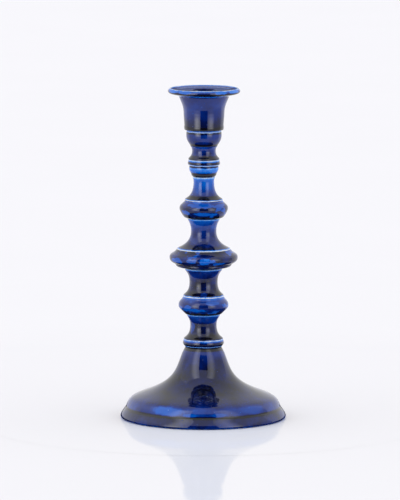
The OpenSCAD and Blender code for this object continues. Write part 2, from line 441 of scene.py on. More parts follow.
class Board:
    """One material's nodes, with lengths in millimetres."""

    def __init__(self, name: str) -> None:
        """Starts a material with one Principled shader."""
        self.material = bpy.data.materials.new(name)
        self.material.use_nodes = True
        self.tree = self.material.node_tree
        self.shader = self.tree.nodes["Principled BSDF"]

    def add(
        self,
        kind: str,
        settings: Optional[dict] = None,
        inputs: Optional[dict] = None,
        output: Union[int, str] = 0,
    ) -> Wire:
        """Adds one node.

        Args:
            kind: The node's type.
            settings: Its own settings; stops are a ramp's positions and colours.
            inputs: Values or wires for its sockets, by name or number.
            output: Which of its sockets comes back.

        Returns:
            The wanted output.
        """
        node = self.tree.nodes.new(kind)
        for key, value in (settings or {}).items():
            if key == "stops":
                elements = node.color_ramp.elements
                while len(elements) > 1:
                    elements.remove(elements[-1])
                elements[0].position, elements[0].color = value[0][0], (*value[0][1], 1)
                for position, colour in value[1:]:
                    elements.new(position).color = (*colour, 1)
            else:
                setattr(node, key, value)
        for key, value in (inputs or {}).items():
            if isinstance(value, Wire):
                self.tree.links.new(value.socket, node.inputs[key])
            else:
                node.inputs[key].default_value = value
        return Wire(self, node.outputs[output])

    def place(self) -> Wire:
        """Gives the place on the object in millimetres."""
        spot = self.add("ShaderNodeTexCoord", output="Object")
        return self.add("ShaderNodeVectorMath", {"operation": "SCALE"}, {0: spot, "Scale": 1 / MM})

    def shifted(self, place: Wire, by: tuple, stretch: tuple = (1, 1, 1)) -> Wire:
        """Moves and stretches a place, so that a pattern is a piece's own."""
        moved = self.add("ShaderNodeVectorMath", {"operation": "ADD"}, {0: place, 1: by})
        return self.add("ShaderNodeVectorMath", {"operation": "MULTIPLY"}, {0: moved, 1: stretch})

    def split(self, place: Wire) -> tuple[Wire, Wire, Wire]:
        """Gives the three parts of a place."""
        node = self.add("ShaderNodeSeparateXYZ", inputs={0: place}).socket.node
        return tuple(Wire(self, node.outputs[i]) for i in range(3))

    def from_axis(self, place: Wire) -> tuple[Wire, Wire]:
        """Gives a place's distance from the upright axis, and its height."""
        x, y, z = self.split(place)
        return (x * x + y * y) ** 0.5, z

    def noise(self, place: Wire, size: float, detail: float = 2, rough: float = 0.5) -> Wire:
        """Gives soft noise from 0 to 1 with features of a size in millimetres."""
        grain = {"Vector": place, "Scale": 1 / size, "Detail": detail, "Roughness": rough}
        return self.add("ShaderNodeTexNoise", inputs=grain)

    def specks(self, place: Wire, size: float, share: float, width: float) -> Wire:
        """Gives small round specks.

        Args:
            place: The place on the object.
            size: Distance between places where a speck may be, in millimetres.
            share: Share of those places that hold one.
            width: Width of a speck as a share of that distance.

        Returns:
            1 in a speck and 0 elsewhere.
        """
        near = self.add(
            "ShaderNodeTexVoronoi",
            inputs={"Vector": place, "Scale": 1 / size},
            output="Distance",
        )
        colour = Wire(self, near.socket.node.outputs["Color"])
        pick = self.add("ShaderNodeSeparateColor", inputs={0: colour})
        return (1 - near.rise(width * 0.5, width)) * (1 - pick.rise(share, share + 0.02))

    def ramp(self, value: Wire, stops: Sequence[tuple[float, Colour]]) -> Wire:
        """Gives the colour of a value on a ramp of stops."""
        return self.add("ShaderNodeValToRGB", {"stops": stops}, {0: value})

    def run(self, value: Wire, levels: Sequence[Point]) -> Wire:
        """Follows a list of places and levels, straight between them.

        Args:
            value: The place along the run.
            levels: Place and level of each stop, in rising order.

        Returns:
            The level at the value.
        """
        low, high = levels[0][0], levels[-1][0]
        most = 1.2
        stops = [((at - low) / (high - low), (level / most,) * 3) for at, level in levels]
        return self.ramp((value - low) / (high - low), stops) * most

    def blend(self, share: Value, one: Value, other: Value) -> Wire:
        """Mixes two colours by a share."""
        return self.add("ShaderNodeMix", {"data_type": "RGBA"}, {0: share, 6: one, 7: other}, 2)

    def feed(self, **sockets: Value) -> bpy.types.Material:
        """Sets or links the shader's sockets, an underscore for each space.

        Args:
            sockets: Value or wire of each socket.

        Returns:
            The finished material.
        """
        for key, value in sockets.items():
            socket = self.shader.inputs[key.replace("_", " ")]
            if isinstance(value, Wire):
                self.tree.links.new(value.socket, socket)
            else:
                socket.default_value = value
        return self.material

    def relief(self, height: Wire) -> Wire:
        """Gives the normal for a relief whose height is in millimetres."""
        bump = {"Strength": 1.0, "Distance": MM, "Height": height}
        return self.add("ShaderNodeBump", inputs=bump)

    def show(self, shader: Wire) -> bpy.types.Material:
        """Links another shader to the output, in place of the Principled one."""
        out = self.tree.nodes["Material Output"]
        self.tree.links.new(shader.socket, out.inputs["Surface"])
        return self.material

    def shine(self, strength: Value) -> bpy.types.Material:
        """Makes the material a white light of a strength."""
        light = {"Color": (1, 1, 1, 1), "Strength": strength}
        return self.show(self.add("ShaderNodeEmission", inputs=light))


class Sky(Board):
    """The nodes of the studio's world."""

    def __init__(self, world: bpy.types.World) -> None:
        """Takes up a world's own nodes."""
        self.tree = world.node_tree


@dataclass(frozen=True)
class Spot:
    """A place where the glaze ran thin or pooled; on the foot's front some also hold painted
    highlight.
    """

    at: tuple[float, float, float]
    wide: float
    tall: float
    level: float


POOLED = (0.92, 1.04)
SOCKET_MOUTH = (11.2, 11.5)
# Glaze colour by thickness. The palest stop is partly painted highlight: edges where the glaze
# breaks thin, laid near white and whiter than the buff clay, to stand in for the glint along them.
COBALT_WITH_PAINTED_GLINT: tuple[tuple[float, Colour], ...] = (
    (0.0, (0.80, 0.82, 0.83)),
    (0.04, (0.50, 0.67, 0.95)),
    (0.12, (0.085, 0.34, 0.88)),
    (0.3, (0.004, 0.165, 0.72)),
    (0.45, (0.0005, 0.088, 0.49)),
    (0.6, (0.0003, 0.041, 0.30)),
    (0.7, (0.0002, 0.022, 0.205)),
    (0.78, (0.0002, 0.0132, 0.145)),
    (0.85, (0.0002, 0.006, 0.075)),
    (1.0, (0.003, 0.003, 0.007)),
)


@dataclass(frozen=True)
class Glaze:
    """Cobalt glaze on one section: pale where it is thin, with painted highlight on its whitest
    edges, nearly black where it pools.
    """

    run: tuple[Point, ...]
    top_run: tuple[Point, ...] = ()
    top_from: float = 0.0
    patches: float = 0.0
    patch_level: float = 0.4
    patch_size: float = 13.0
    patch_cover: float = 0.32
    streaks: float = 0.07
    cloud: float = 0.5
    cloud_size: float = 10.0
    mottle: float = 0.03
    ragged: float = 1.5
    soft_edge: float = 0.22
    seed: float = 1.0
    spots: tuple[Spot, ...] = ()

    def material(self, name: str) -> bpy.types.Material:
        """Builds the glaze.

        Args:
            name: The material's name.

        Returns:
            The material.
        """
        board = Board(name)
        place = board.place()
        own = self._own(board, place, 31.7, 17.3)
        radius, z = board.from_axis(place)
        slow = board.noise(own, size=16)
        fine = board.noise(own, size=1.7)
        ripple = board.noise(own, size=4.2, detail=1)
        wobble = (board.noise(own, size=5, detail=3) - 0.5) * 1.1
        thickness = board.run(z + wobble, self.run)
        groove = thickness.rise(*POOLED)
        falling = self._own(board, place, 9.1, 0, (1, 1, 0.14))
        falls = board.noise(falling, size=3.0, detail=3)
        clouds = self._own(board, place, 71, 13, (1, 1, 1.5))
        drift = board.noise(clouds, self.cloud_size, detail=3, rough=0.55)
        thickness = (
            thickness
            + (falls - 0.5) * self.streaks * (1 - groove) * 2
            + (drift - 0.5) * self.cloud * thickness.rise(0.2, 0.6)
        )
        if self.patches:
            thickness = self._patched(board, place, thickness, 1 - groove)
        if self.spots:
            ragged = (board.noise(own, size=4.6, detail=3) - 0.5) * self.ragged
            thickness = self._spotted(board, place, thickness, ragged, 1 - groove)
        if self.top_run:
            limit = self.top_run[-1][0]
            over = z.rise(self.top_from, self.top_from + 0.5)
            over = over * (1 - radius.rise(limit - 0.1, limit + 0.1))
            over = over.at_least(1 - radius.rise(*SOCKET_MOUTH))
            wander = radius + (board.noise(own, size=4) - 0.5) * 0.8
            flat = board.run(wander, self.top_run) + (drift - 0.5) * 0.25
            thickness = thickness.towards(flat, over)
        thickness = thickness + (fine - 0.5) * self.mottle + (slow - 0.5) * 0.10
        holes = board.specks(own, size=2.6, share=0.10, width=0.16)
        thickness = thickness - holes * 0.35
        thin = 1 - thickness.rise(0.0, 0.3)
        relief = ripple * 0.005 + slow * 0.13 + thickness * 0.05
        return board.feed(
            Base_Color=board.ramp(thickness, COBALT_WITH_PAINTED_GLINT),
            Roughness=0.02 + thin * 0.14 + fine * 0.02,
            IOR=1.5,
            Normal=board.relief(relief + fine * thin * 0.012 - holes * 0.05),
        )

    def _own(
        self, board: Board, place: Wire, x: float, y: float, stretch: tuple = (1, 1, 1)
    ) -> Wire:
        """Moves a pattern by the section's own seed, so that no two sections match."""
        return board.shifted(place, (x * self.seed, y * self.seed, 0), stretch)

    def _patched(self, board: Board, place: Wire, thickness: Wire, open_glaze: Wire) -> Wire:
        """Lays scattered patches where the glaze is thinner.

        Args:
            board: The material's nodes.
            place: The place on the object.
            thickness: The glaze's thickness so far.
            open_glaze: 1 outside the grooves.

        Returns:
            The thickness with the patches.
        """
        smears = self._own(board, place, 53, 29, (1, 1, 1.6))
        smear = board.noise(smears, self.patch_size)
        edge = 0.5 + (0.5 - self.patch_cover) * 0.5
        share = smear.rise(edge, edge + 0.035) * open_glaze * self.patches
        return thickness.towards(self.patch_level, share)

    def _spotted(
        self, board: Board, place: Wire, thickness: Wire, ragged: Wire, open_glaze: Wire
    ) -> Wire:
        """Lays the section's own spots.

        Args:
            board: The material's nodes.
            place: The place on the object.
            thickness: The glaze's thickness so far.
            ragged: How far each spot's edge strays.
            open_glaze: 1 outside the grooves.

        Returns:
            The thickness with the spots.
        """
        for spot in self.spots:
            size = (1 / spot.wide, 1 / spot.wide, 1 / spot.tall)
            away = board.shifted(place, tuple(-c for c in spot.at), size)
            far = board.add("ShaderNodeVectorMath", {"operation": "LENGTH"}, {0: away}, "Value")
            share = 1 - (far + ragged).rise(1 - self.soft_edge, 1.0)
            thickness = thickness.towards(spot.level, share * open_glaze)
        return thickness


@dataclass(frozen=True)
class WashedClay:
    """The foot's underside: pale clay under a thin, patchy wash of the same glaze."""

    bare_in: float = 21.5
    bare_out: float = 64.2

    def material(self, name: str) -> bpy.types.Material:
        """Builds the washed clay under a name."""
        board = Board(name)
        place = board.place()
        radius = board.from_axis(place)[0] + (board.noise(place, 6, 3) - 0.5) * 2.4
        brush = board.noise(board.shifted(place, (0, 0, 0), (1, 1, 2.5)), 11, 4, 0.6)
        thickness = 0.40 + (brush - 0.5) * 0.9 + (board.noise(place, 2, 2) - 0.5) * 0.12
        bare = (1 - radius.rise(self.bare_in, self.bare_in + 1.2)).at_least(
            radius.rise(self.bare_out - 1.0, self.bare_out)
        )
        grit = board.specks(place, 1.6, 0.25, 0.3)
        grain = board.noise(place, 0.8, 3, 0.7)
        clay = board.blend(grain, (0.50, 0.44, 0.35, 1), (0.66, 0.60, 0.50, 1))
        clay = board.blend(grit * 0.6, clay, (0.24, 0.19, 0.14, 1))
        glaze = board.ramp(thickness, COBALT_WITH_PAINTED_GLINT)
        return board.feed(
            Base_Color=board.blend(bare, glaze, clay),
            Roughness=0.16 + bare * 0.6 + grain * 0.06,
            Normal=board.relief(grain * bare * 0.06 + brush * 0.15 - grit * bare * 0.03),
        )


@dataclass(frozen=True)
class Steel:
    """Zinc-plated steel with turning marks and dull patches."""

    rings: float = 0.6
    dullness: float = 0.26

    def material(self, name: str) -> bpy.types.Material:
        """Builds the steel under a name."""
        board = Board(name)
        place = board.place()
        radius, z = board.from_axis(place)
        turned = board.add("ShaderNodeCombineXYZ", inputs={0: radius * 5, 1: z * 5, 2: 0.0})
        marks = board.noise(turned, self.rings, 3, 0.6)
        dull = board.noise(place, 3.5, 4, 0.6).rise(0.42, 0.7)
        nicks = board.specks(place, 1.5, 0.2, 0.18)
        tint = board.blend(dull, (0.66, 0.67, 0.69, 1), (0.42, 0.41, 0.38, 1))
        tint = board.blend(nicks, tint, (0.20, 0.17, 0.14, 1))
        return board.feed(
            Base_Color=tint,
            Metallic=1.0,
            Roughness=self.dullness + dull * 0.22 + marks * 0.14,
            Normal=board.relief(marks * 0.012 - nicks * 0.03),
        )


@dataclass(frozen=True)
class Rubber:
    """Black rubber with a dusty bloom."""

    bloom: float = 0.5

    def material(self, name: str) -> bpy.types.Material:
        """Builds the rubber under a name."""
        board = Board(name)
        place = board.place()
        dust = board.noise(place, 2.8, 4, 0.65).rise(0.45, 0.75) * self.bloom
        grain = board.noise(place, 0.5, 2)
        return board.feed(
            Base_Color=board.blend(dust, (0.018, 0.018, 0.019, 1), (0.10, 0.098, 0.092, 1)),
            Roughness=0.52 + dust * 0.3 + grain * 0.08,
            Normal=board.relief(grain * 0.02),
        )


@dataclass(frozen=True)
class Felt:
    """Pressed wool felt: matted fibres, lint and a soft sheen."""

    dark: Colour = (0.035, 0.085, 0.052)
    light: Colour = (0.13, 0.24, 0.16)

    def material(self, name: str) -> bpy.types.Material:
        """Builds the felt under a name."""
        board = Board(name)
        place = board.place()
        bend = board.noise(place, 1.4, 2)
        fibre = board.noise(board.shifted(place, (0, 0, 0), (3.2, 0.6, 2)), 0.55, 4, 0.7)
        cross = board.noise(board.shifted(place, (40, 7, 0), (0.6, 3.2, 2)), 0.55, 4, 0.7)
        mat = (fibre + cross) * 0.5 * (0.8 + bend * 0.4)
        lint = board.specks(place, 2.2, 0.12, 0.14)
        colour = board.blend(mat.rise(0.3, 0.7), (*self.dark, 1), (*self.light, 1))
        colour = board.blend(lint * 0.7, colour, (0.42, 0.44, 0.40, 1))
        return board.feed(
            Base_Color=colour,
            Roughness=0.9 + mat * 0.1,
            Sheen_Weight=0.5,
            Sheen_Roughness=0.4,
            Normal=board.relief(mat * 0.35 + lint * 0.05),
        )


# The turned sections


@dataclass
class Section:
    """One turned ceramic section, threaded on the tie rod."""

    name: str
    low: float
    tall: float
    glaze: Glaze
    hole: float = 4.3
    recess: float = 6.5
    recess_deep: float = 2.3
    spigot: float = 6.4
    spigot_long: float = 2.0
    steps: int = 144

    def outside(self) -> list[Point]:
        """Gives the outside from bottom to top, from the section's own floor."""
        raise NotImplementedError

    def core(self) -> list[Point]:
        """Gives the recess on top, the hole and the spigot below, from top to bottom."""
        top = self.tall
        return [
            (self.recess, top),
            (self.recess, top - self.recess_deep),
            (self.hole, top - self.recess_deep),
            (self.hole, -self.spigot_long),
            (self.spigot, -self.spigot_long),
            (self.spigot, 0),
        ]

    def outline(self) -> list[Point]:
        """Gives the whole closed outline at its own height, with soft corners."""
        drawn = softened([*self.outside(), *self.core()])
        return [(r, z + self.low) for r, z in drawn]

    def build(self) -> bpy.types.Object:
        """Turns the section, glazes it and puts it on the frame."""
        piece = Bench.turn(f"turned_{self.name}", self.outline(), self.steps)
        self.dress(piece)
        Bench.hand_over(piece, self.name, Slot.GLAZE)
        return piece

    def dress(self, piece: bpy.types.Object) -> None:
        """Gives the section its glaze."""
        piece.data.materials.append(self.glaze.material(f"glaze_{self.name}"))


@dataclass
class Spool(Section):
    """A lip at the bottom, a waist, and a thin edge at the top."""

    lip: Point = (18.0, 0.5)
    waist: Point = (12.0, 12.0)
    top: float = 15.0
    down: Pull = Pull(0.8, 0.0, 0.1)
    up: Pull = Pull(0.6, 0.0, 0.2)

    def outside(self) -> list[Point]:
        """Gives the lip, the hollow and the top edge."""
        flare = sweep(self.waist, self.lip, self.down, 26)[::-1]
        rise = sweep(self.waist, (self.top, self.tall - 0.3), self.up)[1:]
        return [
            (self.lip[0] - 0.25, 0),
            (self.lip[0], 0.2),
            *flare,
            *rise,
            (self.top - 0.3, self.tall),
        ]


@dataclass
class Knop(Section):
    """A bulge between two flat faces."""

    foot_edge: float = 2.0
    low_end: Point = (17.0, 0.3)
    belly: Point = (22.0, 8.0)
    high_end: Point = (19.0, 15.0)
    crown_edge: float = 0.7
    down: Pull = Pull(0.2, 1.0, 0.7)
    up: Pull = Pull(0.6, 0.3, 0.4)

    def outside(self) -> list[Point]:
        """Gives the bulge from its bottom edge to its top edge."""
        under = sweep(self.belly, self.low_end, self.down)[::-1]
        over = sweep(self.belly, self.high_end, self.up)[1:]
        return [
            (self.low_end[0] - self.foot_edge, 0),
            *under,
            *over,
            (self.high_end[0] - self.crown_edge, self.tall),
        ]


@dataclass
class Ring(Section):
    """A narrow band with one rounded side."""

    start: tuple[Point, ...] = ()
    round_side: tuple[Point, Point, Point, Point] = ((0, 0),) * 4
    end: tuple[Point, ...] = ()

    def outside(self) -> list[Point]:
        """Gives the band's edges and its rounded side."""
        return [*self.start, *curve(*self.round_side, 16), *self.end]


@dataclass
class Foot(Section):
    """The broad domed foot, open underneath."""

    rim: float = 75.0
    band: float = 8.9
    step: float = 70.3
    shoulder: Point = (49.6, 24.6)
    neck: float = 16.3
    hollow: float = 65.0
    seat: Point = (21.0, 37.6)
    felt_in: float = 66.0
    felt_out: float = 71.5
    felt_groove: float = 0.6

    def outside(self) -> list[Point]:
        """Gives the rim, the step, the dome and the neck."""
        edge = self.step - 0.2
        sr, sz = self.shoulder
        band = curve(
            (self.rim, 1.2),
            (self.rim - 0.1, 3.6),
            (self.step + 1.4, self.band - 1.9),
            (self.step + 0.3, self.band),
            16,
        )
        skirt = curve(
            (edge, self.band + 0.5),
            (edge - 3, sz - 6),
            (sr + 14.7, sz - 5.9),
            (sr, sz),
            30,
        )
        dome = curve(
            (sr, sz),
            (sr - 23.9, sz + 9.9),
            (self.neck + 8.8, self.tall - 21),
            (self.neck + 2.9, self.tall - 5.5),
            34,
        )[1:]
        return [
            (self.felt_out + 0.2, 0),
            (self.rim - 0.9, 0),
            (self.rim - 0.3, 0.4),
            *band,
            *skirt,
            *dome,
            (self.neck + 1.6, self.tall - 2.9),
            (self.neck + 0.5, self.tall - 0.8),
            (self.neck - 0.1, self.tall),
        ]

    def core(self) -> list[Point]:
        """Gives the recess, the rod hole, the clamping face and the hollow."""
        top = self.tall
        sr, sz = self.shoulder
        seat_r, seat_z = self.seat
        under = (sr - 3.6, sz - 3.7)
        crown = curve(
            (seat_r + 1, seat_z - 0.5),
            (seat_r + 7, seat_z - 7),
            (sr - 13.6, sz + 0.3),
            under,
            16,
        )
        wall = curve(
            under,
            (sr + 6.4, sz - 7.7),
            (self.hollow - 3, sz - 7.7),
            (self.hollow - 0.5, self.band - 0.3),
            16,
        )[1:]
        return [
            (self.recess, top),
            (self.recess, top - self.recess_deep),
            (self.hole, top - self.recess_deep),
            (self.hole, seat_z),
            (seat_r, seat_z),
            *crown,
            *wall,
            (self.hollow, 5),
            (self.hollow, 0),
            (self.felt_in - 0.2, 0),
            (self.felt_in - 0.2, self.felt_groove),
            (self.felt_out + 0.2, self.felt_groove),
        ]

    def dress(self, piece: bpy.types.Object) -> None:
        """Glazes the outside and washes the underside."""
        super().dress(piece)
        seat_z = (self.low + self.seat[1] + 0.2) * MM
        lip = (self.felt_out + 0.6) * MM
        floor = (self.low + self.felt_groove + 0.1) * MM

        def under(middle: Vector, normal: Vector) -> bool:
            """Says whether a face belongs to the underside."""
            radius = math.hypot(middle.x, middle.y)
            outward = normal.x * middle.x + normal.y * middle.y
            if middle.z > seat_z or radius > lip:
                return False
            return normal.z < -0.05 or outward < 0 or middle.z < floor

        Bench.give_faces(piece, WashedClay().material("washed_clay"), under)


@dataclass
class CandleCup(Section):
    """The cup that holds the candle, with its drip pan."""

    socket: float = 11.0
    socket_deep: float = 25.0
    wall: float = 18.45
    bead: float = 17.95
    pan: float = 32.7
    pan_deep: float = 1.4
    nut_hole: float = 6.5
    nut_seat: float = 5.8

    def outside(self) -> list[Point]:
        """Gives the bead, the wall, the pan's underside and its lip."""
        bead, wall, pan = self.bead, self.wall, self.pan
        lip, top = self.tall - 3, self.tall
        floor = top - self.pan_deep
        belly = ((bead - 0.25, 1.1), (bead + 0.1, 2.4), (bead + 0.1, 3.9), (bead - 0.2, 5))
        side = ((wall, 14.9), (wall + 0.05, 22.7), (wall + 2.45, 26), (wall + 4.15, 30.6))
        under = (
            (wall + 7.5, lip - 2.8),
            (pan - 4.6, lip - 2.1),
            (pan - 1.7, lip - 1.9),
            (pan - 0.6, lip - 0.9),
        )
        edge = (
            (pan, lip + 0.2),
            (pan + 0.05, lip + 1.4),
            (pan - 1, lip + 2.4),
            (pan - 1.9, lip + 3),
        )
        inner = ((pan - 2.3, top), (pan - 2.9, top - 0.1), (pan - 4.6, floor), (pan - 7, floor))
        return [
            (bead - 2.4, 0),
            (bead - 2.3, 0.5),
            (bead - 0.6, 0.8),
            *curve(*belly, 10),
            *curve(*side, 26),
            (wall + 4.5, lip - 4),
            *curve(*under, 12),
            *curve(*edge, 12),
            *curve(*inner, 12),
        ]

    def core(self) -> list[Point]:
        """Gives the socket, the nut's hole, the rod hole and the spigot."""
        floor = self.tall - self.pan_deep
        top = floor - 0.6
        return [
            (self.socket + 0.6, floor),
            (self.socket, top),
            (self.socket, top - self.socket_deep),
            (self.nut_hole, top - self.socket_deep),
            (self.nut_hole, self.nut_seat),
            (self.hole, self.nut_seat),
            (self.hole, -self.spigot_long),
            (self.spigot, -self.spigot_long),
            (self.spigot, 0),
        ]


# The fixings


@dataclass(frozen=True)
class Washer:
    """A flat ring: the radii of its edge and hole, its underside's height, its thickness."""

    name: str
    edge: float
    low: float
    tall: float
    soft: float
    hole: float = 4.3
    gap: float = 0.0
    steps: int = 96

    def build(self) -> bpy.types.Object:
        """Turns the ring with rolled edges, and centres its cut on the right if it has one."""
        high = self.low + self.tall
        half = math.degrees(math.asin(self.gap / (self.hole + self.edge)))
        corners = [
            (self.edge, self.low),
            (self.edge, high),
            (self.hole, high),
            (self.hole, self.low),
        ]
        ring = Bench.turn(
            self.name, softened(corners, self.soft), self.steps, 360 - 2 * half
        )
        if self.gap:
            lean = sum(v.co.y for v in ring.data.vertices if v.co.x > 0)
            ring.rotation_euler.z = math.radians(math.copysign(half, lean))
            bpy.ops.object.transform_apply(location=True, rotation=True, scale=True)
        return ring


@dataclass
class Fixings:
    """The tie rod, its nuts and washers, the cushions and the felt."""

    rod: float = 4.0
    shank: float = 3.66
    rod_low: float = 22.6
    rod_high: float = 270.8
    low_thread: float = 24.2
    high_thread: float = 14.2
    crest: float = 3.94
    root: float = 3.35
    pitch: float = 1.25
    flanks: tuple[float, ...] = (0.14, 0.52, 0.70, 1.08)
    bore: float = 4.05
    nut_flats: float = 13.0
    nut_low: float = 26.2
    nut_tall: float = 6.5
    cup_nut_low: float = 268.2
    cup_nut_tall: float = 4.0
    cup_nut_edge: float = 6.2
    slot_wide: float = 1.6
    slot_deep: float = 1.4
    foot_washer: Washer = Washer("large_washer", edge=14.0, low=34.5, tall=2.0, soft=0.45)
    spring_washer: Washer = Washer(
        "split_washer", edge=7.0, low=32.7, tall=1.8, soft=0.25, hole=4.15, gap=1.2, steps=88
    )
    foot_pad: Washer = Washer("foot_pad", edge=15.0, low=36.5, tall=1.5, soft=0.5)
    cup_pad: Washer = Washer("cup_pad", edge=6.2, low=267.4, tall=0.8, soft=0.3)
    felt: Washer = Washer(
        "felt_foot_ring", edge=71.5, low=0.0, tall=1.0, soft=0.35, hole=66.0, steps=192
    )

    def build(self) -> None:
        """Builds every fixing and puts it on the frame."""
        steel = Steel().material("plated_steel")
        rolled = Steel(rings=1.4, dullness=0.22).material("rolled_steel")
        rubber = Rubber().material("black_rubber")
        felt = Felt().material("green_felt")
        made = (
            (self.tie_rod(), "tie_rod", steel, Slot.STEEL),
            (self.hex_nut(), "foot_nut", steel, Slot.STEEL),
            (self.slotted_nut(), "cup_nut", steel, Slot.STEEL),
            (self.foot_washer.build(), "foot_washer", rolled, Slot.STEEL),
            (self.spring_washer.build(), "spring_washer", rolled, Slot.STEEL),
            (self.foot_pad.build(), "foot_cushion", rubber, Slot.RUBBER),
            (self.cup_pad.build(), "cup_cushion", rubber, Slot.RUBBER),
            (self.felt.build(), "felt_ring", felt, Slot.FELT),
        )
        for piece, node, finish, slot in made:
            piece.data.materials.clear()
            piece.data.materials.append(finish)
            Bench.hand_over(piece, node, slot)

    @staticmethod
    def _blank(
        name: str, radius: float, low: float, high: float, bevel: float
    ) -> bpy.types.Object:
        """Turns a solid bar with bevelled ends.

        Args:
            name: The piece's name.
            radius: Its radius in millimetres.
            low: Height of its bottom end.
            high: Height of its top end.
            bevel: Size of the bevel on each end.

        Returns:
            The bar.
        """
        outline = [
            (0, low),
            (radius - bevel, low),
            (radius, low + bevel),
            (radius, high - bevel),
            (radius - bevel, high),
            (0, high),
        ]
        return Bench.turn(name, outline, 48)

    def thread(self, low: float, high: float) -> bpy.types.Object:
        """Winds one pitch of thread round the axis and trims it to length.

        Args:
            low: Height of its bottom end in millimetres.
            high: Height of its top end.

        Returns:
            The threaded bar.
        """
        start = low - 2 * self.pitch
        turns = math.ceil((high - start) / self.pitch) + 2
        radii = (self.root, self.root, self.crest, self.crest, self.root, self.root)
        groove = [(r, start + z) for r, z in zip(radii, (0, *self.flanks, self.pitch))]
        skim = 0.01
        bar = Bench.draw("thread", groove, closed=False)
        Bench.finish_with(
            bar,
            "SCREW",
            axis="Z",
            angle=2 * math.pi,
            screw_offset=self.pitch * MM,
            iterations=turns,
            steps=32,
            render_steps=32,
            use_merge_vertices=True,
            merge_threshold=1e-6,
        )
        Bench.outwards(bar)
        Bench.trim(bar, low + skim, keep_above=True)
        Bench.trim(bar, high - skim, keep_above=False)
        Bench.outwards(bar)
        return bar

    def tie_rod(self) -> bpy.types.Object:
        """Makes the rod: a plain shank with a rolled thread at each end."""
        low_end = self.rod_low + self.low_thread
        high_start = self.rod_high - self.high_thread
        overlap = 0.2
        shank = self._blank(
            "steel_tie_rod", self.shank, low_end - overlap, high_start + overlap, 0.3
        )
        for low, high in ((self.rod_low, low_end), (high_start, self.rod_high)):
            bar = self.thread(low, high)
            Bench.combine(bar, self._blank("rod_end", self.rod, low, high, 0.7), "INTERSECT")
            Bench.pick(bar)
            shank.select_set(True)
            bpy.context.view_layer.objects.active = shank
            bpy.ops.object.join()
        Bench.smooth(shank, 30)
        return shank

    @staticmethod
    def _deburr(nut: bpy.types.Object, width: float) -> bpy.types.Object:
        """Breaks a nut's sharp edges by a width in millimetres."""
        Bench.outwards(nut)
        Bench.finish_with(
            nut,
            "BEVEL",
            width=width * MM,
            segments=2,
            limit_method="ANGLE",
            angle_limit=math.radians(40),
        )
        Bench.smooth(nut, 30)
        return nut

    def hex_nut(self) -> bpy.types.Object:
        """Cuts a hexagon to a nut with bevelled corners and a bore."""
        low, high = self.nut_low, self.nut_low + self.nut_tall
        corner = self.nut_flats / math.sqrt(3)
        Bench.clear()
        bpy.ops.mesh.primitive_cylinder_add(
            vertices=6,
            radius=corner * MM,
            depth=self.nut_tall * MM,
            location=(0, 0, (low + high) / 2 * MM),
        )
        nut = bpy.context.object
        nut.name = nut.data.name = "hexagon_nut"
        bpy.ops.object.transform_apply(location=True, rotation=True, scale=True)
        face, wide, drop = self.nut_flats / 2 - 0.2, corner + 0.01, 0.9
        cone = [
            (0, low),
            (face, low),
            (wide, low + drop),
            (wide, high - drop),
            (face, high),
            (0, high),
        ]
        Bench.combine(nut, Bench.turn("nut_cone", cone, 96), "INTERSECT")
        bore, mouth = self.bore, self.bore + 1
        drill = [
            (0, low - 1),
            (mouth, low - 1),
            (mouth, low - 0.2),
            (bore, low + 0.6),
            (bore, high - 0.6),
            (mouth, high + 0.2),
            (mouth, high + 1),
            (0, high + 1),
        ]
        Bench.combine(nut, Bench.turn("nut_bore", drill, 64), "DIFFERENCE")
        return self._deburr(nut, 0.12)

    def slotted_nut(self) -> bpy.types.Object:
        """Turns the round nut in the cup and cuts its screwdriver slot."""
        low, high = self.cup_nut_low, self.cup_nut_low + self.cup_nut_tall
        edge, bore, chamfer = self.cup_nut_edge, self.bore, 0.3
        outline = [
            (bore, low + chamfer),
            (bore + chamfer, low),
            (edge - chamfer, low),
            (edge, low + chamfer),
            (edge, high - 0.5),
            (edge - 0.5, high),
            (bore + chamfer, high),
            (bore, high - chamfer),
        ]
        nut = Bench.turn("slotted_nut", outline, 96)
        Bench.clear()
        middle = high - self.slot_deep / 2 + 0.5
        bpy.ops.mesh.primitive_cube_add(size=1, location=(0, 0, middle * MM))
        cutter = bpy.context.object
        cutter.scale = (16 * MM, self.slot_wide * MM, (self.slot_deep + 1) * MM)
        bpy.ops.object.transform_apply(location=True, rotation=True, scale=True)
        Bench.combine(nut, cutter, "DIFFERENCE")
        return self._deburr(nut, 0.1)


# The candlestick: each glaze's run gives heights and how thick the glaze is there


FOOT_GLAZE = Glaze(
    run=(
        (0.4, 0.3), (0.6, 0.45), (1.1, 0.8), (4.5, 0.82), (8.0, 0.86), (9.0, 1.02),
        (10.0, 1.05), (10.7, 0.85), (11.4, 0.68), (16.5, 0.68), (19.0, 0.84), (24.0, 0.92),
        (34.0, 0.94), (45.0, 0.88), (58.0, 0.76), (61.4, 0.78), (62.6, 1.08), (64.6, 1.1),
    ),
    cloud_size=21, ragged=0.5, soft_edge=0.45, seed=1.0,
    # The skirt's four front spots are thin patches of glaze and partly painted highlight: lighter
    # on the left and darker to the right, where the left soft box's reflection falls.
    spots=(
        Spot((-33, -60, 14.5), 20, 5.0, 0.42), Spot((-12, -67, 11.8), 9, 1.8, 0.46),
        Spot((14, -67, 12.0), 9, 2.0, 0.52), Spot((44, -50, 14.5), 16, 4.0, 0.58),
        Spot((30, 66, 14), 18, 5, 0.46), Spot((-60, 32, 15), 16, 5, 0.5),
    ),
)

FOOT_RING_GLAZE = Glaze(
    run=(
        (64.6, 0.95), (65.3, 0.95), (65.6, 0.06), (66.0, 0.12), (66.3, 0.8), (66.7, 0.93),
        (69.2, 0.92), (69.7, 0.7), (70.4, 0.5), (70.9, 0.3), (71.3, 0.05),
    ),
    seed=2.0,
)

